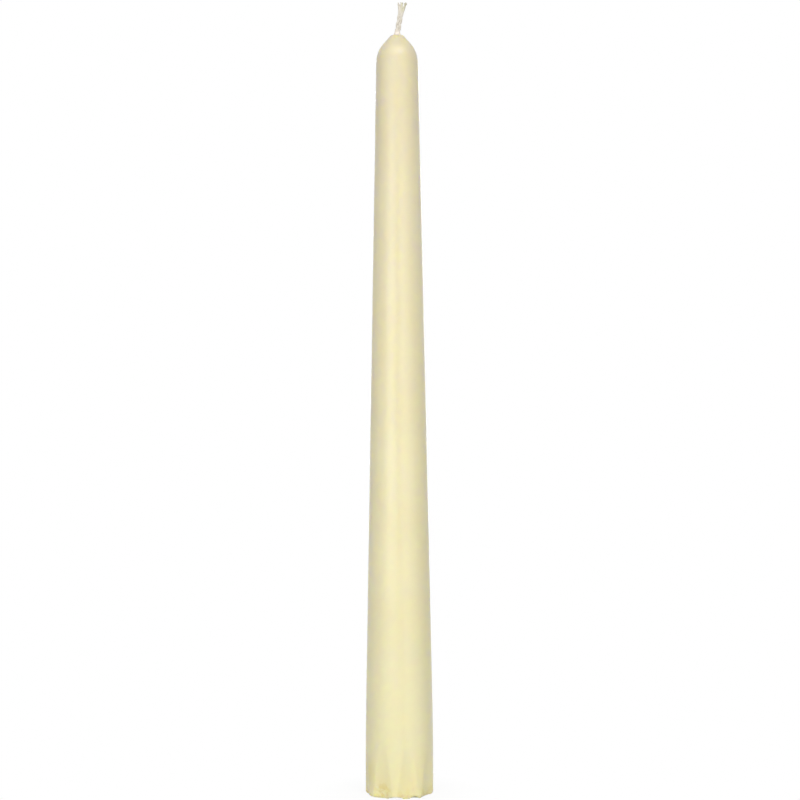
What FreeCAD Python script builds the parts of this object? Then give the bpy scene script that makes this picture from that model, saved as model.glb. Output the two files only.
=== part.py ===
import FreeCAD, Part
import math
import os

# Taper candle: a tapered wax body with a fluted foot, cast round a plaited cotton wick.
# Millimetres. The origin is the middle of the foot's underside, +Z runs up the candle,
# and the side that the photograph shows faces -Y.

# Wax body
wax_length = 250.0            # underside of the foot to the tip, without the wick
base_diameter = 22.3          # the straight foot, which goes into a holder
base_height = 20.0            # where the foot's straight side meets the line of the taper
taper_blend_length = 11.7     # of the soft bend there, each way along the side
shoulder_diameter = 13.9      # where the line of the taper meets the line of the pointed end
shoulder_height = 5.5         # from there up to the tip
shoulder_radius = 8.5         # rounding of that corner
tip_land = 0.4                # flat ring of wax round the wick at the tip
tip_edge_radius = 0.5

# Flutes moulded into the foot, so that it bites in a holder
flute_count = 8
flute_height = 17.5           # each flute runs out to nothing here
flute_radius = 13.0           # hollow of its section
flute_land = 1.3              # full-width wax left between two flutes at the underside
flute_turn = 14.5             # degrees from -Y towards +X, to the middle of the first flute
rim_share = 0.72              # rounding of the underside's edge, as a share of the flutes' depth

# Chips broken out of the underside's edge, each the shape that a ball would press
chip_inset = 0.6              # from the side wall in to the ball's middle
wide_chip_turn = -7.5         # degrees from -Y towards +X
wide_chip_radius = 3.6
wide_chip_height = 0.75       # how far the ball rises above the underside
small_chip_turn = 30.5
small_chip_radius = 1.9
small_chip_height = 0.65

# Wick
wick_diameter = 2.0           # where the wax holds it
wick_free_length = 11.0       # above the tip
wick_root_length = 0.7        # above the tip, still round, with its grooves full of wax
wick_lean = 10.5              # degrees towards +X
wick_bend_length = 0.5        # over which it turns from upright into its lean
strand_count = 3
strand_diameter = 0.95
plait_width = 2.0
plait_thickness = 1.55
plait_pitch = 7.2             # height over which a strand comes back to its place
plait_phase = 205.0           # degrees, the first strand's place in the plait at the tip
splay_height = 4.2            # below the wick's end, where the strands begin to part
splay_curl = 1.6              # above 1, the strands curve outwards as they part
splay_offsets = ((-0.3, -0.2), (-1.4, 0.1), (1.15, 0.2))  # of the strands' ends, X and Y
strand_step = 0.6             # height between the level rings that a strand is drawn through

base_radius = base_diameter / 2
tip_z = wax_length
wick_radius = wick_diameter / 2
wick_end_z = tip_z + wick_free_length


def vec(x, y, z):
    return FreeCAD.Vector(x, y, z)


def outward(turn):
    """Level unit vector, turned from -Y towards +X by this many degrees."""
    a = math.radians(turn)
    return vec(math.sin(a), -math.cos(a), 0)


def corner_arc(corner, back, on, radius=0, length=0):
    """Arc that rounds a corner, given by its radius or by the length it takes of each side."""
    half = back.getAngle(on) / 2
    length = length or radius / math.tan(half)
    radius = radius or length * math.tan(half)
    middle_line = (back + on).normalize()
    middle = corner + middle_line * (radius / math.sin(half) - radius)
    return Part.Arc(corner + back * length, middle, corner + on * length).toShape()


def rounded_outline(points, roundings):
    """Closed wire through (radius, height) points of a half section, with rounded corners."""
    corners = [vec(r, 0, z) for r, z in points]
    count = len(corners)
    edges = []
    here = corners[0]
    for i in range(1, count + 1):
        corner = corners[i % count]
        rounding = roundings.get(i)
        if rounding:
            back = (corners[i - 1] - corner).normalize()
            on = (corners[(i + 1) % count] - corner).normalize()
            arc = corner_arc(corner, back, on, **rounding)
            edges.append(Part.LineSegment(here, arc.Vertexes[0].Point).toShape())
            edges.append(arc)
            here = arc.Vertexes[1].Point
        else:
            edges.append(Part.LineSegment(here, corner).toShape())
            here = corner
    return Part.Wire(edges)


def wax_blank():
    """The turned form of the wax, before the foot is fluted, begun in line with a land."""
    points = [
        (0, 0),
        (base_radius, 0),
        (base_radius, base_height),
        (shoulder_diameter / 2, tip_z - shoulder_height),
        (wick_radius + tip_land, tip_z),
        (0, tip_z),
    ]
    roundings = {
        2: {"length": taper_blend_length},
        3: {"radius": shoulder_radius},
        4: {"radius": tip_edge_radius},
    }
    face = Part.Face(rounded_outline(points, roundings))
    land_turn = flute_turn + 180 / flute_count
    face.rotate(vec(0, 0, 0), vec(0, 0, 1), land_turn - 90)
    return face.revolve(vec(0, 0, 0), vec(0, 0, 1), 360)


def flute_depth():
    """How far a flute sinks in at the underside, for the land that it leaves."""
    half_width = base_radius * math.sin(math.pi / flute_count) - flute_land / 2
    wall_rise = base_radius - math.sqrt(base_radius**2 - half_width**2)
    tool_rise = flute_radius - math.sqrt(flute_radius**2 - half_width**2)
    return wall_rise + tool_rise


def flute_cutter(turn):
    """Round bar that leans outwards as it rises, clear of the wall at the flute's top."""
    depth = flute_depth()
    lean = math.atan2(depth, flute_height)
    length = flute_height / math.cos(lean) + 2 * flute_radius
    bar = Part.makeCylinder(flute_radius, length, vec(0, 0, -flute_radius))
    bar.rotate(vec(0, 0, 0), vec(0, 1, 0), math.degrees(lean))
    bar.translate(vec(base_radius - depth + flute_radius / math.cos(lean), 0, 0))
    bar.rotate(vec(0, 0, 0), vec(0, 0, 1), turn - 90)
    return bar


def chip(turn, radius, height):
    place = outward(turn) * (base_radius - chip_inset) + vec(0, 0, height - radius)
    return Part.makeSphere(radius, place)


def make_wax(wick):
    body = wax_blank()
    body = body.cut([flute_cutter(flute_turn + 360 * i / flute_count) for i in range(flute_count)])
    underside = min(body.Faces, key=lambda face: face.CenterOfMass.z)
    body = body.makeFillet(rim_share * flute_depth(), underside.OuterWire.Edges)
    wide_chip = chip(wide_chip_turn, wide_chip_radius, wide_chip_height)
    small_chip = chip(small_chip_turn, small_chip_radius, small_chip_height)
    return body.cut([wide_chip, small_chip, wick])


def wick_line(z):
    """Middle of the wick at a height: upright in the wax, then leaning towards +X."""
    rise = max(z - tip_z, 0)
    away = math.hypot(rise, wick_bend_length) - wick_bend_length
    return vec(math.tan(math.radians(wick_lean)) * away, 0, z)


def plaited_offset(index, z):
    """A strand swings from side to side once, and from front to back twice, in each pitch."""
    swing = (plait_width - strand_diameter) / 2
    weave = (plait_thickness - strand_diameter) / 2
    share_of_pitch = (z - tip_z) / plait_pitch + index / strand_count
    turn = math.radians(plait_phase) + 2 * math.pi * share_of_pitch
    return vec(swing * math.sin(turn), weave * math.sin(2 * turn), 0)


def strand_point(index, z):
    """Middle of a strand at a height: in the plait, then parting from the others."""
    splay_z = wick_end_z - splay_height
    share = max((z - splay_z) / splay_height, 0)
    plaited = plaited_offset(index, min(z, splay_z))
    parted = vec(*splay_offsets[index], 0)
    return wick_line(z) + plaited + (parted - plaited) * share**splay_curl


def strand(index):
    """One strand of the plait, from inside the wick's round root to its cut end."""
    low = tip_z + wick_root_length / 4
    spans = max(4, round((wick_end_z - low) / strand_step))
    rings = []
    for i in range(spans + 1):
        place = strand_point(index, low + (wick_end_z - low) * i / spans)
        rings.append(Part.Wire(Part.makeCircle(strand_diameter / 2, place)))
    return Part.makeLoft(rings, True)


def make_wick():
    rod = Part.makeCylinder(wick_radius, tip_z + wick_root_length)
    return rod.fuse([strand(i) for i in range(strand_count)])


def save(name, shape):
    solids = shape.Solids
    whole = solids[0] if len(solids) == 1 else Part.makeCompound(solids)
    whole.exportStep(f"parts/{name}.step")
    print(f"{name}: {len(solids)} solid, valid {whole.isValid()}, volume {whole.Volume:.1f}")


os.makedirs("parts", exist_ok=True)
wick_shape = make_wick()
save("wick", wick_shape)
save("wax_body", make_wax(wick_shape))
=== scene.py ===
import bmesh
import bpy
import math
import random
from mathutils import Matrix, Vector


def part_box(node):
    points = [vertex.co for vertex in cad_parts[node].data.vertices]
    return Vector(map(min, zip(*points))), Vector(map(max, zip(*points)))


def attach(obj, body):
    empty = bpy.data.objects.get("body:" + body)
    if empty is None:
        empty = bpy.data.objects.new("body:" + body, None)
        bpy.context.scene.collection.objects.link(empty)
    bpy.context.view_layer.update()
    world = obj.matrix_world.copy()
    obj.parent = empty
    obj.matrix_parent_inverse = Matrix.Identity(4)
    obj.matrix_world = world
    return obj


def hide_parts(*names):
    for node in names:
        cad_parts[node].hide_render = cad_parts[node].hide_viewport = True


# Taper candle. The candle stands on z = 0 and the camera looks along +Y.
# A turn is in degrees, from the side that faces the camera, -Y, towards +X.

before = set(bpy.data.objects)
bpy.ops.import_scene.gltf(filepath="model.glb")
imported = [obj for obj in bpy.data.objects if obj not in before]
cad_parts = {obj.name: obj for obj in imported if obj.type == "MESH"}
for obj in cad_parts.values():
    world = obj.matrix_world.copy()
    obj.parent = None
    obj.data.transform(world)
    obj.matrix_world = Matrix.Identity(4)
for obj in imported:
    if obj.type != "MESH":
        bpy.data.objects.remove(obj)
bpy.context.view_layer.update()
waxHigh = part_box("wax_body")[1]
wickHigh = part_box("wick")[1]

mm = 0.001
samePlace = 0.001 * mm    # points nearer to each other than this are taken as one
random.seed(7)
print("frame loaded:", round(wickHigh.z / mm, 1), "mm tall")


# Helpers

def placeAt(turn, out, z):
    a = math.radians(turn)
    return out * math.sin(a), -out * math.cos(a), z


def deselectAll():
    if bpy.context.object and bpy.context.object.mode != "OBJECT":
        bpy.ops.object.mode_set(mode="OBJECT")
    bpy.ops.object.select_all(action="DESELECT")


def makeActive(piece):
    deselectAll()
    piece.select_set(True)
    bpy.context.view_layer.objects.active = piece


def editMode(piece):
    makeActive(piece)
    bpy.ops.object.mode_set(mode="EDIT")
    bpy.ops.mesh.select_mode(type="VERT")


def objectMode():
    bpy.ops.object.mode_set(mode="OBJECT")


def selectWhere(piece, test):
    mesh = bmesh.from_edit_mesh(piece.data)
    for part in (mesh.faces, mesh.edges, mesh.verts):
        for item in part:
            item.select = False
    for vert in mesh.verts:
        vert.select = test(vert.co)
    mesh.select_flush(True)
    bmesh.update_edit_mesh(piece.data)


def applyModifiers(piece):
    makeActive(piece)
    for modifier in list(piece.modifiers):
        bpy.ops.object.modifier_apply(modifier=modifier.name)


def selectAllOf(pieces):
    deselectAll()
    for piece in pieces:
        piece.select_set(True)
    bpy.context.view_layer.objects.active = pieces[0]


def joinAll(pieces, name):
    selectAllOf(pieces)
    bpy.ops.object.join()
    joined = bpy.context.object
    joined.name = name
    joined.data.name = name
    return joined


def smoothShading(piece, degrees):
    makeActive(piece)
    bpy.ops.object.shade_smooth_by_angle(angle=math.radians(degrees))


# Wax body

wax = {
    "columns": 128,
    "footRadius": waxHigh.x,
    "tipZ": waxHigh.z,
    "rim": 0.804 * mm,               # rounding of the underside's edge
    "rimSteps": 5,
    "bendZ": 20.0 * mm,              # the straight foot meets the line of the taper here
    "bendReach": 11.7 * mm,          # and blends into it this far each way
    "footStep": 1.25 * mm,           # height between two rings below the bend
    "taperStep": 8.0 * mm,           # and at most this above it
    "shoulderRadius": 6.85 * mm,
    "shoulderDrop": 5.5 * mm,        # from the tip down to the shoulder's corner
    "shoulderRounding": 9.2 * mm,
    "shoulderSteps": 8,
    "coneRings": (0.35, 0.7, 0.9),   # shares of the way from there to the tip's rounding
    "tipRadius": 2.1 * mm,
    "tipRounding": 0.7 * mm,
    "tipRings": (0, 0.35, 0.7),      # shares of the way round it
    "boreRadius": 1.0 * mm,          # of the wick's hole
    "boreMouth": [  # how much wider than the hole, and how far below the tip
        (0.25 * mm, 0),
        (0.15 * mm, 0.05 * mm),
        (0, 0.3 * mm),
        (0, 2.0 * mm),
    ],
    "boreEnd": 1.0 * mm,             # height of the hole's lowest ring above the underside
    "ringsRoundBore": (0.3 * mm, 2.5 * mm),    # on the underside, out from the hole
    "ringsInsideFoot": (3.6 * mm, 2.6 * mm),   # and in from the foot's radius
    "fluteCount": 8,
    "fluteTurn": 14.5,
    "fluteHeight": 17.5 * mm,
    "fluteHollow": 13.0 * mm,        # radius of a flute's section
    "fluteDepth": 1.117 * mm,        # at the underside
    "shallowFlute": (-2, 0.4),       # counted from the first one, and its share of the depth
    "arrisSoftness": 0.2 * mm,       # of the edge between two flutes
    "arrisLeast": 0.05,              # share of that softness at the flutes' top
    "ringSlack": 0.05 * mm,          # the side's points are within this of their ring's radius
    "columnSlack": 0.001,            # and within this share of a flute's width of their column
    "noChange": 0.99999,             # a column is left alone where its factor is above this
    "roundingLevels": 1,
    "smoothAngle": 40,
}


def taperSlope():
    narrowing = wax["footRadius"] - wax["shoulderRadius"]
    return narrowing / (wax["tipZ"] - wax["shoulderDrop"] - wax["bendZ"])


def sideRadius(z):
    start = wax["bendZ"] - wax["bendReach"]
    end = wax["bendZ"] + wax["bendReach"]
    if z <= start:
        return wax["footRadius"]
    if z < end:
        return wax["footRadius"] - taperSlope() * (z - start) ** 2 / (4 * wax["bendReach"])
    return wax["footRadius"] - taperSlope() * (z - wax["bendZ"])


def rimInset(z):
    rim = wax["rim"]
    low = max(rim - z, 0)
    return rim - math.sqrt(rim * rim - low * low)


def rimRings():
    rim = wax["rim"]
    middle = wax["footRadius"] - rim
    rings = []
    for i in range(wax["rimSteps"] + 1):
        a = math.radians(90 * i / wax["rimSteps"])
        rings.append((middle + rim * math.sin(a), rim - rim * math.cos(a)))
    return rings


def sideRings(endZ):
    rings = []
    z = wax["rim"] + wax["footStep"] / 2
    while z < wax["bendZ"]:
        rings.append((sideRadius(z), z))
        z += wax["footStep"]
    steps = math.ceil((endZ - z) / wax["taperStep"])
    for i in range(steps):
        there = z + (endZ - z) * i / steps
        rings.append((sideRadius(there), there))
    return rings


def tipRings(first, cone):
    small = wax["tipRounding"]
    middleR = wax["tipRadius"] - small * (1 - math.sin(cone)) / math.cos(cone)
    middleZ = wax["tipZ"] - small
    last = (middleR + small * math.cos(cone), middleZ + small * math.sin(cone))
    rings = []
    for share in wax["coneRings"]:
        radius = first[0] + (last[0] - first[0]) * share
        rings.append((radius, first[1] + (last[1] - first[1]) * share))
    for share in wax["tipRings"]:
        a = cone + (math.pi / 2 - cone) * share
        rings.append((middleR + small * math.cos(a), middleZ + small * math.sin(a)))
    return rings


def outerRings():    # radius and height of each, from the underside up to the tip
    lean = math.atan(taperSlope())
    cone = math.atan((wax["shoulderRadius"] - wax["tipRadius"]) / wax["shoulderDrop"])
    rounding = wax["shoulderRounding"]
    reach = rounding * math.tan((cone - lean) / 2)
    startR = wax["shoulderRadius"] + reach * math.sin(lean)
    startZ = wax["tipZ"] - wax["shoulderDrop"] - reach * math.cos(lean)
    middle = Vector((startR - rounding * math.cos(lean), startZ - rounding * math.sin(lean)))
    rings = rimRings() + sideRings(startZ)
    for i in range(wax["shoulderSteps"] + 1):
        a = lean + (cone - lean) * i / wax["shoulderSteps"]
        rings.append((middle.x + rounding * math.cos(a), middle.y + rounding * math.sin(a)))
    return rings + tipRings(rings[-1], cone)


def innerRings():    # down the wick's hole, and out along the underside
    bore = wax["boreRadius"]
    rings = [(bore + wider, wax["tipZ"] - drop) for wider, drop in wax["boreMouth"]]
    rings += [(bore, wax["boreEnd"]), (bore, 0)]
    rings += [(bore + away, 0) for away in wax["ringsRoundBore"]]
    rings += [(wax["footRadius"] - inset, 0) for inset in wax["ringsInsideFoot"]]
    return rings


def extrudeRing(here, there):
    bpy.ops.mesh.extrude_region_move(TRANSFORM_OT_translate={"value": (0, 0, there[1] - here[1])})
    factor = there[0] / here[0]
    bpy.ops.transform.resize(value=(factor, factor, 1), center_override=(0, 0, there[1]))


def closeUnderside():
    bpy.ops.mesh.select_all(action="DESELECT")
    bpy.ops.mesh.select_non_manifold(
        use_wire=False, use_multi_face=False, use_non_contiguous=False, use_verts=False)
    bpy.ops.mesh.bridge_edge_loops()


def fluteFactor(away, z, share):    # share of its radius that a column keeps, at this angle
    side = wax["footRadius"]
    depth = share * wax["fluteDepth"] * (1 - z / wax["fluteHeight"])
    middle = side - depth + wax["fluteHollow"]
    inside = wax["fluteHollow"] ** 2 - (middle * math.sin(away)) ** 2
    hollow = 2 * side                # clear of the side, where the flute doesn't reach
    if inside > 0:
        hollow = middle * math.cos(away) - math.sqrt(inside)
    soft = wax["arrisSoftness"] * min(1, depth / wax["fluteDepth"] + wax["arrisLeast"])
    blend = max(soft - abs(hollow - side), 0) / soft
    radius = min(hollow, side) - blend * blend * soft / 4
    inset = rimInset(z)
    return (radius - inset) / (side - inset)


def onColumn(co, ring, place, isShallow):    # place is counted in flutes, from a flute's middle
    radius, z = ring
    if abs(co.z - z) > samePlace or co.xy.length < radius - wax["ringSlack"]:
        return False
    pitch = 2 * math.pi / wax["fluteCount"]
    around = (math.atan2(co.y, co.x) - math.radians(wax["fluteTurn"] - 90)) / pitch
    flute = round(around)
    if isShallow != ((flute - wax["shallowFlute"][0]) % wax["fluteCount"] == 0):
        return False
    return abs(abs(around - flute) - place) < wax["columnSlack"]


def cutFlutes(piece, rings):
    pitch = 2 * math.pi / wax["fluteCount"]
    columns = wax["columns"] // wax["fluteCount"]
    for ring in rings:
        z = ring[1]
        if z >= wax["fluteHeight"]:
            break
        for k in range(columns // 2 + 1):
            place = k / columns
            for share in (1, wax["shallowFlute"][1]):
                factor = fluteFactor(pitch * place, z, share)
                if factor > wax["noChange"]:
                    continue
                selectWhere(piece, lambda co: onColumn(co, ring, place, share < 1))
                bpy.ops.transform.resize(value=(factor, factor, 1), center_override=(0, 0, z))


def buildWax():
    deselectAll()
    rings = outerRings()
    here = rings[0]
    bpy.ops.mesh.primitive_circle_add(
        vertices=wax["columns"], radius=here[0], fill_type="NOTHING",
        location=(0, 0, here[1]), rotation=(0, 0, math.radians(wax["fluteTurn"])))
    piece = bpy.context.object
    piece.name = "candle_wax"
    bpy.ops.object.transform_apply(location=True, rotation=True, scale=True)
    editMode(piece)
    bpy.ops.mesh.select_all(action="SELECT")
    for ring in rings[1:] + innerRings():
        extrudeRing(here, ring)
        here = ring
    closeUnderside()
    cutFlutes(piece, rings)
    bpy.ops.mesh.select_all(action="SELECT")
    bpy.ops.mesh.normals_make_consistent(inside=False)
    objectMode()
    rounding = piece.modifiers.new("Round", "SUBSURF")
    rounding.levels = wax["roundingLevels"]
    rounding.render_levels = wax["roundingLevels"]
    applyModifiers(piece)
    return piece


waxPiece = buildWax()
print("wax body modelled:", len(waxPiece.data.polygons), "faces")


# Chips and dents at the foot

chips = {
    "roughness": 0.09 * mm,
    "seed": 3,
    "ballDivisions": 5,
    "each": [  # turn, radius of the ball, its rise above the underside, inset from the side
        (-7.5, 3.6 * mm, 1.2 * mm, 1.3 * mm),
        (29.5, 2.1 * mm, 0.98 * mm, 1.0 * mm),
        (23.5, 1.4 * mm, 0.45 * mm, 0.4 * mm),   # the small chip runs out to this side
    ],
    "dentInset": 0.4 * mm,      # from the side to where a dent's nearest point is looked for
    "dents": [  # turn, height, reach, depth
        (-35.5, 1.3 * mm, 1.1 * mm, 0.20 * mm),
        (-31.0, 2.7 * mm, 0.9 * mm, 0.16 * mm),
        (-27.0, 1.2 * mm, 1.2 * mm, 0.24 * mm),
        (-25.5, 3.6 * mm, 0.8 * mm, 0.12 * mm),
        (-40.0, 4.4 * mm, 1.2 * mm, 0.10 * mm),
        (-41.5, 2.6 * mm, 0.9 * mm, 0.12 * mm),
        (18.0, 1.5 * mm, 1.1 * mm, 0.10 * mm),
        (47.0, 2.0 * mm, 1.0 * mm, 0.12 * mm),
        (112.0, 1.4 * mm, 1.2 * mm, 0.16 * mm),
        (163.0, 2.2 * mm, 1.4 * mm, 0.14 * mm),
        (-136.0, 1.2 * mm, 1.2 * mm, 0.18 * mm),
    ],
}


def breakChips(piece):
    for number, (turn, radius, height, inset) in enumerate(chips["each"]):
        deselectAll()
        bpy.ops.mesh.primitive_ico_sphere_add(
            subdivisions=chips["ballDivisions"], radius=radius,
            location=placeAt(turn, wax["footRadius"] - inset, height - radius))
        cutter = bpy.context.object
        editMode(cutter)
        bpy.ops.mesh.select_all(action="SELECT")
        bpy.ops.transform.vertex_random(offset=chips["roughness"], seed=number + chips["seed"])
        objectMode()
        cut = piece.modifiers.new("Chip", "BOOLEAN")
        cut.object = cutter
        cut.solver = "EXACT"
        applyModifiers(piece)
        bpy.data.objects.remove(cutter)


def pressDents(piece):
    for turn, height, reach, depth in chips["dents"]:
        outward = Vector(placeAt(turn, 1, 0))
        place = outward * (wax["footRadius"] - chips["dentInset"]) + Vector((0, 0, height))
        nearest = min(piece.data.vertices, key=lambda vert: (vert.co - place).length).index
        spot = piece.data.vertices[nearest].co.copy()
        editMode(piece)
        selectWhere(piece, lambda co: (co - spot).length < samePlace)
        bpy.ops.transform.translate(
            value=outward * -depth, use_proportional_edit=True,
            proportional_edit_falloff="SMOOTH", proportional_size=reach)
        objectMode()


pressDents(waxPiece)
breakChips(waxPiece)
smoothShading(waxPiece, wax["smoothAngle"])
print("foot chipped:", len(waxPiece.data.polygons), "faces")


# Wick

wick = {
    "endZ": wickHigh.z,
    "lean": 10.5,                # degrees towards +X
    "bend": 0.5 * mm,            # over which it turns from upright into its lean
    "strands": 3,
    "strandRadius": 0.475 * mm,
    "strandStart": 0.6 * mm,     # below the tip
    "plies": 6,                  # round the middle ply of each strand
    "plyRadius": 0.15 * mm,
    "plyTwist": 2.6 * mm,        # height of one turn of the plies round their strand
    "plyWobble": 0.06,           # share of their distance from the strand's middle
    "wobbleRate": 9000,          # radians to the metre
    "width": 2.0 * mm,
    "thickness": 1.55 * mm,
    "pitch": 7.2 * mm,           # height over which a strand comes back to its place
    "phase": 205.0,              # degrees, the first strand's place in the plait at the tip
    "splayHeight": 4.2 * mm,     # below the end, where the strands begin to part
    "splayCurl": 1.6,
    "ends": [(-0.3 * mm, -0.2 * mm), (-1.4 * mm, 0.1 * mm), (1.15 * mm, 0.2 * mm)],
    "cut": [0.5 * mm, 1.7 * mm, 0.7 * mm],   # how unevenly each strand's plies end
    "frayHeight": 2.2 * mm,      # below the end, where the plies begin to fray
    "fray": 0.4 * mm,            # how far they get from their strand at most
    "frayShares": (0.3, 1.0),    # and a ply's own share of that
    "thinning": 0.45,            # a ply's end is this share thinner
    "points": 34,                # of a ply's line
    "lineSteps": 3,
    "sectionSteps": 2,
    "smoothAngle": 50,
    "rodRadius": 0.98 * mm,      # the part inside the wax
    "rodDrop": 0.35 * mm,        # below the tip, where its root begins
    "rodColumns": 48,
    "rodEdge": 0.06 * mm,
    "rodEdgeSteps": 2,
    "rodEdgeAngle": 60,
    "root": [  # height above the tip, radius, shift towards +X: cotton soaked with wax
        (-0.05 * mm, 1.12 * mm, 0.00 * mm),
        (0.15 * mm, 1.17 * mm, 0.02 * mm),
        (0.40 * mm, 1.13 * mm, 0.04 * mm),
        (0.65 * mm, 1.06 * mm, 0.07 * mm),
        (0.90 * mm, 0.95 * mm, 0.11 * mm),
        (1.15 * mm, 0.80 * mm, 0.16 * mm),
        (1.40 * mm, 0.60 * mm, 0.21 * mm),
        (1.60 * mm, 0.36 * mm, 0.26 * mm),
    ],
    "rootRoughness": 0.09 * mm,
    "roughFrom": 0.1 * mm,       # above the tip
    "rootSeed": 11,
    "rootSmoothing": 0.5,
    "rootPasses": 2,
}


def wickLine(z):
    rise = max(z - wax["tipZ"], 0)
    away = math.hypot(rise, wick["bend"]) - wick["bend"]
    return Vector((math.tan(math.radians(wick["lean"])) * away, 0, z))


def strandPoint(index, z):
    splayZ = wick["endZ"] - wick["splayHeight"]
    pitches = (min(z, splayZ) - wax["tipZ"]) / wick["pitch"] + index / wick["strands"]
    turn = math.radians(wick["phase"]) + 2 * math.pi * pitches
    swing = wick["width"] / 2 - wick["strandRadius"]
    weave = wick["thickness"] / 2 - wick["strandRadius"]
    plaited = Vector((swing * math.sin(turn), weave * math.sin(2 * turn), 0))
    parted = Vector((*wick["ends"][index], 0))
    share = max((z - splayZ) / wick["splayHeight"], 0) ** wick["splayCurl"]
    return wickLine(z) + plaited + (parted - plaited) * share


def plyOffset(ply, z, wander):
    if ply == 0:
        return Vector((0, 0, 0))
    ring = wick["strandRadius"] - wick["plyRadius"]
    a = 2 * math.pi * (ply / wick["plies"] + (z - wax["tipZ"]) / wick["plyTwist"])
    wobble = wick["plyWobble"] * math.sin(wick["wobbleRate"] * z + wander)
    return Vector((math.cos(a), math.sin(a), 0)) * ring * (1 + wobble)


def plyCurve(index, ply):
    # the middle ply of a strand and one more reach its full height
    startZ = wax["tipZ"] - wick["strandStart"]
    endZ = wick["endZ"] - random.uniform(0, 1) * wick["cut"][index] * (ply > 1)
    frayTurn = random.uniform(0, 2 * math.pi)
    fray = random.uniform(*wick["frayShares"]) * wick["fray"]
    wander = random.uniform(0, 2 * math.pi)
    loose = Vector((math.cos(frayTurn), math.sin(frayTurn), 0)) * fray
    deselectAll()
    bpy.ops.curve.primitive_nurbs_path_add(location=(0, 0, 0))
    curve = bpy.context.object
    spline = curve.data.splines[0]
    spline.points.add(wick["points"] - len(spline.points))
    for i, point in enumerate(spline.points):
        z = startZ + (endZ - startZ) * i / (wick["points"] - 1)
        opened = max((z - wick["endZ"] + wick["frayHeight"]) / wick["frayHeight"], 0) ** 2
        place = strandPoint(index, z) + plyOffset(ply, z, wander) + loose * opened
        point.co = (*place, 1)
        point.radius = 1 - wick["thinning"] * opened
    spline.order_u = 3
    spline.use_endpoint_u = True
    spline.resolution_u = wick["lineSteps"]
    curve.data.bevel_depth = wick["plyRadius"]
    curve.data.bevel_resolution = wick["sectionSteps"]
    curve.data.use_fill_caps = True
    return curve


def buildPlies():
    curves = []
    for index in range(wick["strands"]):
        for ply in range(wick["plies"] + 1):
            curves.append(plyCurve(index, ply))
    selectAllOf(curves)
    bpy.ops.object.convert(target="MESH")
    plies = list(bpy.context.selected_objects)
    bpy.ops.object.mode_set(mode="EDIT")
    bpy.ops.mesh.select_all(action="SELECT")
    bpy.ops.mesh.remove_doubles(threshold=samePlace)    # joins the plies' end caps
    objectMode()
    return plies


def buildRod():
    deselectAll()
    top = wax["tipZ"] - wick["rodDrop"]
    bpy.ops.mesh.primitive_cylinder_add(
        vertices=wick["rodColumns"], radius=wick["rodRadius"], depth=top,
        location=(0, 0, top / 2), end_fill_type="NGON")
    rod = bpy.context.object
    bpy.ops.object.transform_apply(location=True, rotation=True, scale=True)
    editMode(rod)
    selectWhere(rod, lambda co: co.z > top - samePlace)
    hereZ, hereRadius, hereX = top, wick["rodRadius"], 0
    for rise, radius, shift in wick["root"]:
        z = wax["tipZ"] + rise
        bpy.ops.mesh.extrude_region_move(
            TRANSFORM_OT_translate={"value": (shift - hereX, 0, z - hereZ)})
        factor = radius / hereRadius
        bpy.ops.transform.resize(value=(factor, factor, 1), center_override=(shift, 0, z))
        hereZ, hereRadius, hereX = z, radius, shift
    selectWhere(rod, lambda co: co.z > wax["tipZ"] + wick["roughFrom"])
    bpy.ops.transform.vertex_random(offset=wick["rootRoughness"], seed=wick["rootSeed"])
    bpy.ops.mesh.vertices_smooth(factor=wick["rootSmoothing"], repeat=wick["rootPasses"])
    objectMode()
    bevel = rod.modifiers.new("Edge", "BEVEL")
    bevel.width = wick["rodEdge"]
    bevel.segments = wick["rodEdgeSteps"]
    bevel.limit_method = "ANGLE"
    bevel.angle_limit = math.radians(wick["rodEdgeAngle"])
    applyModifiers(rod)
    return rod


plies = buildPlies()
wickPiece = joinAll([buildRod()] + plies, "candle_wick")
bpy.ops.object.transform_apply(location=True, rotation=True, scale=True)
smoothShading(wickPiece, wick["smoothAngle"])
print("wick plaited:", len(wickPiece.data.polygons), "faces")


# Finishes

fineDetail = 4.0    # of a noise that shows smaller steps than the rest


def newMaterial(name):
    material = bpy.data.materials.new(name)
    material.use_nodes = True
    nodes = material.node_tree.nodes
    return material, nodes, material.node_tree.links, nodes["Principled BSDF"]


def setInputs(node, values):
    for name, value in values.items():
        node.inputs[name].default_value = value


def addNode(nodes, kind, **values):
    node = nodes.new(kind)
    for key, value in values.items():
        if key in node.inputs:
            node.inputs[key].default_value = value
        else:
            setattr(node, key, value)
    return node


def noiseNode(nodes, links, vector, scale=1.0, detail=3.0):
    noise = addNode(nodes, "ShaderNodeTexNoise", Scale=scale, Detail=detail)
    links.new(vector, noise.inputs["Vector"])
    return noise.outputs["Fac"]


def stretchedNoise(nodes, links, vector, scale):
    stretch = addNode(nodes, "ShaderNodeMapping", Scale=scale)
    links.new(vector, stretch.inputs["Vector"])
    return noiseNode(nodes, links, stretch.outputs["Vector"], detail=fineDetail)


def rangeNode(nodes, links, value, fromLow, fromHigh, toLow, toHigh):
    spread = addNode(nodes, "ShaderNodeMapRange", interpolation_type="SMOOTHSTEP")
    setInputs(spread, {"From Min": fromLow, "From Max": fromHigh, "To Min": toLow, "To Max": toHigh})
    links.new(value, spread.inputs["Value"])
    return spread.outputs["Result"]


def mathNode(nodes, links, operation, first, second):
    node = addNode(nodes, "ShaderNodeMath", operation=operation)
    for socket, value in zip(node.inputs, (first, second)):
        if isinstance(value, (int, float)):
            socket.default_value = value
        else:
            links.new(value, socket)
    return node.outputs["Value"]


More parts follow.
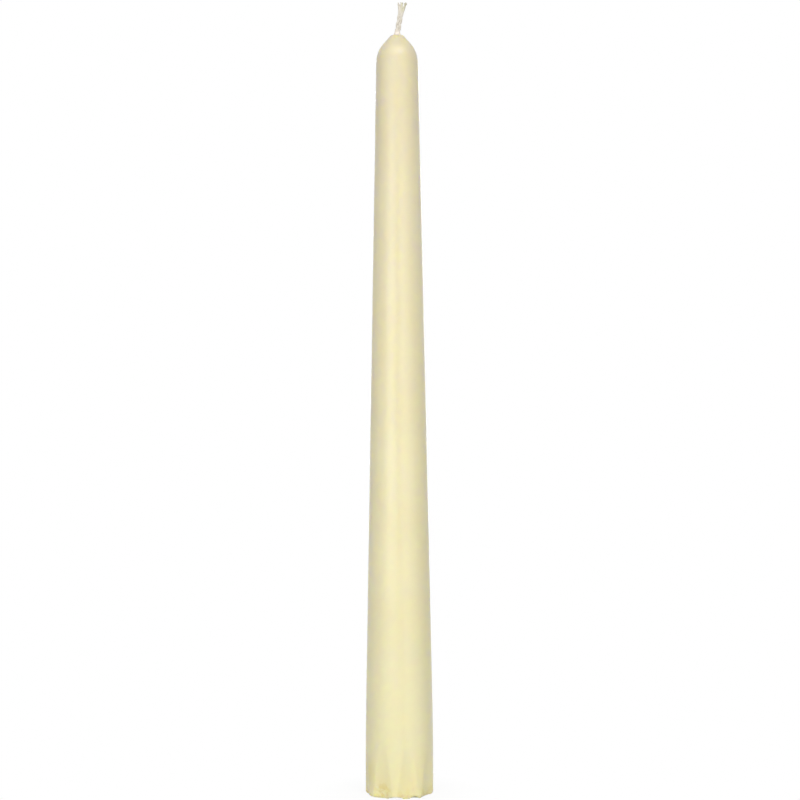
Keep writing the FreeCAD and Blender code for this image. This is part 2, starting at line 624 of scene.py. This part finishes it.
def tintNode(nodes, links, color, tint, share):
    mix = addNode(nodes, "ShaderNodeMix", data_type="RGBA", blend_type="MULTIPLY")
    links.new(share, mix.inputs["Factor"])
    links.new(color, mix.inputs["A"])
    mix.inputs["B"].default_value = tint
    return mix.outputs["Result"]


def bumpNode(nodes, links, height, distance, below=None):
    bump = addNode(nodes, "ShaderNodeBump", Strength=1.0, Distance=distance)
    links.new(height, bump.inputs["Height"])
    if below:
        links.new(below, bump.inputs["Normal"])
    return bump.outputs["Normal"]


def objectCoords(nodes, links):
    coords = addNode(nodes, "ShaderNodeTexCoord").outputs["Object"]
    parts = addNode(nodes, "ShaderNodeSeparateXYZ")
    links.new(coords, parts.inputs["Vector"])
    return coords, parts.outputs


waxFinish = {
    # the foot is yellower than the top, and is also made lighter to make up for less lamp light there:
    # partly painted light
    "foot": (0.90, 0.845, 0.55, 1),
    "top": (0.775, 0.70, 0.485, 1),
    "roughness": (0.29, 0.37),
    "roughRange": (0.35, 0.65),      # such a range is the part of a noise's values that counts
    "ior": 1.5,
    "specular": 0.52,
    "depth": 1.2 * mm,               # that red light travels in the wax
    "depthShares": (1.0, 0.85, 0.1),   # of that distance, for red, green and blue light
    "deep": (0.93, 0.90, 0.80, 1),   # multiplies the colour where the wax is a little yellower
    "streaks": (170, 170, 4),        # waves to the metre along X, Y and Z
    "streakRange": (0.45, 0.7),
    "streakShare": 0.20,
    "streakHeight": 0.05 * mm,
    "cloudScale": 38.0,
    "cloudRange": (0.4, 0.68),
    "cloudShare": 0.25,
    "grainScale": 1500,
    "grainHeight": 0.006 * mm,
    "wearTop": 5.0 * mm,             # height of the rubbed band at the foot
    "wearScale": 620,
    "wearRange": (0.45, 0.6),
    "wearHeight": 0.07 * mm,
    "wearRoughness": 0.2,
    "rubbedScale": 210.0,            # the band is rubbed more in some places than in others
    "rubbedRange": (0.42, 0.62),
    "rubbedLeast": 0.1,
    "patch": (-30.0, 2.6 * mm, 4.0 * mm),    # turn, height and reach of the most rubbed place
    "patchTint": (0.93, 0.87, 0.68, 1),
    "paintedShadeSpot": (-82.0, 7.5 * mm, 8.5 * mm),    # turn, height and reach of painted shade, darker and more olive, on the foot's left side
    "paintedShadeSpotTint": (0.92, 0.895, 0.76, 1),
    "placeCore": 0.3,                # share of a place's reach that has its full effect
    "yellowerFootTop": (9.0 * mm, 18.0 * mm),     # the foot is yellower below this
    "yellowerFootTint": (1.0, 0.995, 0.96, 1),
    "paintedRimShadeTop": 1.6 * mm,            # painted shade: the underside's edge, which faces the floor, is darker below this
    "paintedRimShadeTint": (0.90, 0.88, 0.82, 1),
}


def placeNode(nodes, links, coords, turn, z, reach):
    away = addNode(nodes, "ShaderNodeVectorMath", operation="DISTANCE")
    links.new(coords, away.inputs[0])
    away.inputs[1].default_value = placeAt(turn, wax["footRadius"], z)
    core = waxFinish["placeCore"] * reach
    return rangeNode(nodes, links, away.outputs["Value"], core, reach, 1, 0)


# colour from foot to top: the wax is yellower at the foot, while the lighter foot and darker top stand in
# for how the lamps light them, which is painted light
def heightColorAndPaintedLight(nodes, links, z):
    height = addNode(nodes, "ShaderNodeMapRange")
    height.inputs["From Max"].default_value = wax["tipZ"]
    links.new(z, height.inputs["Value"])
    ramp = addNode(nodes, "ShaderNodeValToRGB")
    ramp.color_ramp.elements[0].color = waxFinish["foot"]
    ramp.color_ramp.elements[1].color = waxFinish["top"]
    links.new(height.outputs["Result"], ramp.inputs["Fac"])
    return ramp.outputs["Color"]


def makeWaxMaterial():
    look = waxFinish
    material, nodes, links, shader = newMaterial("ivory wax")
    coords, parts = objectCoords(nodes, links)
    # long streaks left by pulling the candle out of its mould
    streaks = stretchedNoise(nodes, links, coords, look["streaks"])
    clouds = noiseNode(nodes, links, coords, look["cloudScale"])
    grain = noiseNode(nodes, links, coords, look["grainScale"])
    # the foot's edge is rubbed and mottled, most of all beside the wide chip
    wear = noiseNode(nodes, links, coords, look["wearScale"], fineDetail)
    band = rangeNode(nodes, links, parts["Z"], 0, look["wearTop"], 1, 0)
    rubbed = noiseNode(nodes, links, coords, look["rubbedScale"])
    rubbed = rangeNode(nodes, links, rubbed, *look["rubbedRange"], look["rubbedLeast"], 1)
    worn = mathNode(nodes, links, "MULTIPLY", band, rubbed)
    worn = mathNode(nodes, links, "MAXIMUM", worn, placeNode(nodes, links, coords, *look["patch"]))
    mottle = rangeNode(nodes, links, wear, *look["wearRange"], 0, 1)
    tints = [
        ("deep", rangeNode(nodes, links, streaks, *look["streakRange"], 0, look["streakShare"])),
        ("deep", rangeNode(nodes, links, clouds, *look["cloudRange"], 0, look["cloudShare"])),
        ("patchTint", mathNode(nodes, links, "MULTIPLY", worn, mottle)),
        # painted shade on the foot's left side, standing in for a flute's shade
        ("paintedShadeSpotTint", placeNode(nodes, links, coords, *look["paintedShadeSpot"])),
        ("yellowerFootTint", rangeNode(nodes, links, parts["Z"], *look["yellowerFootTop"], 1, 0)),
        # painted shade along the underside's edge, where it turns down to the floor
        ("paintedRimShadeTint", rangeNode(nodes, links, parts["Z"], 0, look["paintedRimShadeTop"], 1, 0)),
    ]
    color = heightColorAndPaintedLight(nodes, links, parts["Z"])
    for tint, share in tints:
        color = tintNode(nodes, links, color, look[tint], share)
    links.new(color, shader.inputs["Base Color"])
    rough = rangeNode(nodes, links, streaks, *look["roughRange"], *look["roughness"])
    rougher = mathNode(nodes, links, "MULTIPLY", worn, look["wearRoughness"])
    links.new(mathNode(nodes, links, "ADD", rough, rougher), shader.inputs["Roughness"])
    pitted = mathNode(nodes, links, "MULTIPLY", worn, wear)
    normal = bumpNode(nodes, links, streaks, look["streakHeight"])
    normal = bumpNode(nodes, links, grain, look["grainHeight"], normal)
    normal = bumpNode(nodes, links, pitted, look["wearHeight"], normal)
    links.new(normal, shader.inputs["Normal"])
    setInputs(shader, {
        "IOR": look["ior"],
        "Specular IOR Level": look["specular"],
        "Subsurface Weight": 1.0,
        "Subsurface Radius": look["depthShares"],
        "Subsurface Scale": look["depth"],
    })
    return material


wickFinish = {
    "cotton": (0.785, 0.74, 0.65, 1),
    "soaked": (0.93, 0.84, 0.74, 1),     # the root, full of wax
    "soakedTop": (0.6 * mm, 2.2 * mm),   # above the tip, where that ends
    "raggedScale": 700.0,
    "raggedness": 1.0 * mm,              # of that end
    "green": (0.97, 0.99, 0.86, 1),      # multiplies the middle strand's end
    "greenFrom": (1.1 * mm, 1.5 * mm),   # along X
    "dark": (0.80, 0.79, 0.77, 1),       # multiplies the right strand's end
    "darkFrom": (2.1 * mm, 2.8 * mm),    # along X
    "endsFrom": (7.0 * mm, 8.6 * mm),    # above the tip
    "fibres": (5200, 5200, 900),         # waves to the metre along X, Y and Z
    "paintedFibreShade": (0.82, 0.79, 0.76, 1),  # painted shade: multiplies the colour in the gaps between the fibres
    "fibreRange": (0.35, 0.65),
    "fibreShare": 0.35,
    "fibreHeight": 0.03 * mm,
    "roughness": (0.85, 0.55),           # of dry and of soaked cotton
    "sheen": 0.15,
}


def makeWickMaterial():
    look = wickFinish
    material, nodes, links, shader = newMaterial("cotton wick")
    coords, parts = objectCoords(nodes, links)
    tip = wax["tipZ"]
    fibres = stretchedNoise(nodes, links, coords, look["fibres"])
    ragged = noiseNode(nodes, links, coords, look["raggedScale"])
    ragged = mathNode(nodes, links, "MULTIPLY", ragged, look["raggedness"])
    edge = mathNode(nodes, links, "ADD", parts["Z"], ragged)
    middle = look["raggedness"] / 2
    low, high = look["soakedTop"]
    soaked = rangeNode(nodes, links, edge, tip + low + middle, tip + high + middle, 1, 0)
    base = addNode(nodes, "ShaderNodeMix", data_type="RGBA")
    setInputs(base, {"A": look["cotton"], "B": look["soaked"]})
    links.new(soaked, base.inputs["Factor"])
    low, high = look["endsFrom"]
    ends = rangeNode(nodes, links, parts["Z"], tip + low, tip + high, 0, 1)
    green = rangeNode(nodes, links, parts["X"], *look["greenFrom"], 0, 1)
    dark = rangeNode(nodes, links, parts["X"], *look["darkFrom"], 0, 1)
    tints = [
        ("green", mathNode(nodes, links, "MULTIPLY", ends, green)),
        ("dark", mathNode(nodes, links, "MULTIPLY", ends, dark)),
        # painted shade in the gaps between the fibres, where the bump is low
        ("paintedFibreShade", rangeNode(nodes, links, fibres, *look["fibreRange"], look["fibreShare"], 0)),
    ]
    color = base.outputs["Result"]
    for tint, share in tints:
        color = tintNode(nodes, links, color, look[tint], share)
    links.new(color, shader.inputs["Base Color"])
    rough = rangeNode(nodes, links, soaked, 0, 1, *look["roughness"])
    links.new(rough, shader.inputs["Roughness"])
    links.new(bumpNode(nodes, links, fibres, look["fibreHeight"]), shader.inputs["Normal"])
    shader.inputs["Sheen Weight"].default_value = look["sheen"]
    return material


def dress(piece, material, node):
    piece.data.materials.clear()
    piece.data.materials.append(material)
    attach(piece, "root")
    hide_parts(node)


dress(waxPiece, makeWaxMaterial(), "wax_body")
dress(wickPiece, makeWickMaterial(), "wick")
print("finishes set")


# Studio

photo = {
    "size": 800,
    "tip": (397.0, 35.6),        # pixels, the middle of the wax's tip
    "foot": (399.6, 792.5),      # pixels, the middle of the underside
    "footElevation": 13.0,       # degrees that the camera looks down on the underside
    "sensor": 36.0,              # millimetres across
    "nearest": 0.01,             # metres, where the camera's view starts
}


def makeCamera():
    (tipX, tipY), (footX, footY) = photo["tip"], photo["foot"]
    half = photo["size"] / 2
    scale = (footY - tipY) / wax["tipZ"]            # pixels to the metre at the candle
    eyeZ = (footY - half) / scale
    middleX = footX + (tipX - footX) * (footY - half) / (footY - tipY)
    distance = eyeZ / math.tan(math.radians(photo["footElevation"]))
    roll = math.atan((footX - tipX) / (footY - tipY))
    bpy.ops.object.camera_add(
        location=((half - middleX) / scale, -distance, eyeZ), rotation=(math.pi / 2, roll, 0))
    camera = bpy.context.object
    camera.data.sensor_width = photo["sensor"]
    camera.data.lens = photo["sensor"] * scale * distance / photo["size"]
    camera.data.clip_start = photo["nearest"]
    bpy.context.scene.camera = camera


studio = {
    "white": (1, 1, 1, 1),
    "fill": 0.16,                # level of the light from all sides
    "lamps": [  # name, turn, height, distance, width and length in metres, level at the candle
        ("left", -32, 0.22, 0.95, 0.6, 0.42, 0.275),
        ("right", 28, 0.22, 0.95, 0.6, 0.42, 0.21),
        ("topLeft", -25, 1.35, 1.0, 0.5, 0.5, 0.17),
        ("topRight", 25, 1.35, 1.0, 0.3, 0.3, 0.33),
        ("back", 178, 0.25, 1.0, 0.4, 0.5, 0.44),
    ],
    "floorSize": 6,
    "floorColor": (0.9, 0.9, 0.9, 1),
    "floorRoughness": 0.9,
    "shadowShare": 0.08,         # of the candle's shadow that is left on the white floor
    "shadowReach": (0.006, 0.032),   # metres from the middle, over which it fades
}


def makeLamps():
    middle = Vector((0, 0, wax["tipZ"] / 2))
    for name, turn, height, distance, width, length, level in studio["lamps"]:
        place = Vector(placeAt(turn, distance, height))
        aim = middle - place
        bpy.ops.object.light_add(type="AREA", location=place)
        lamp = bpy.context.object
        lamp.name = name
        lamp.data.shape = "RECTANGLE"
        lamp.data.size = width
        lamp.data.size_y = length
        lamp.data.energy = level * math.pi ** 2 * aim.length ** 2
        lamp.rotation_euler = aim.to_track_quat("-Z", "Y").to_euler()


def seenDirectly(nodes, links):
    ray = addNode(nodes, "ShaderNodeLightPath").outputs
    seen = mathNode(nodes, links, "MAXIMUM", ray["Is Camera Ray"], ray["Is Glossy Ray"])
    return mathNode(nodes, links, "MAXIMUM", seen, ray["Is Transmission Ray"])


def mixShaders(nodes, links, share, first, second):
    mix = addNode(nodes, "ShaderNodeMixShader")
    links.new(share, mix.inputs["Fac"])
    links.new(first, mix.inputs[1])
    links.new(second, mix.inputs[2])
    return mix.outputs["Shader"]


def makeWorld():
    world = bpy.data.worlds.new("studio")
    bpy.context.scene.world = world
    world.use_nodes = True
    nodes, links = world.node_tree.nodes, world.node_tree.links
    nodes.clear()
    fill = addNode(nodes, "ShaderNodeBackground", Color=studio["white"], Strength=studio["fill"])
    white = addNode(nodes, "ShaderNodeBackground", Color=studio["white"], Strength=1.0)
    mixed = mixShaders(
        nodes, links, seenDirectly(nodes, links), fill.outputs["Background"], white.outputs["Background"])
    out = addNode(nodes, "ShaderNodeOutputWorld")
    links.new(mixed, out.inputs["Surface"])


def makeFloor():
    deselectAll()
    bpy.ops.mesh.primitive_plane_add(size=studio["floorSize"], location=(0, 0, 0))
    floor = bpy.context.object
    floor.name = "floor"
    material, nodes, links, shader = newMaterial("studio floor")
    setInputs(shader, {
        "Base Color": studio["floorColor"],
        "Roughness": studio["floorRoughness"],
        "Specular IOR Level": 0.0,
    })
    glow = addNode(nodes, "ShaderNodeEmission", Color=studio["white"], Strength=1.0)
    coords = addNode(nodes, "ShaderNodeTexCoord")
    away = addNode(nodes, "ShaderNodeVectorMath", operation="LENGTH")
    links.new(coords.outputs["Object"], away.inputs[0])
    fade = rangeNode(
        nodes, links, away.outputs["Value"], *studio["shadowReach"], 1 - studio["shadowShare"], 1)
    share = mathNode(nodes, links, "MULTIPLY", fade, seenDirectly(nodes, links))
    mixed = mixShaders(nodes, links, share, shader.outputs["BSDF"], glow.outputs["Emission"])
    links.new(mixed, nodes["Material Output"].inputs["Surface"])
    floor.data.materials.append(material)


makeCamera()
makeLamps()
makeWorld()
makeFloor()
bpy.context.scene.view_settings.view_transform = "Standard"
print("studio set")
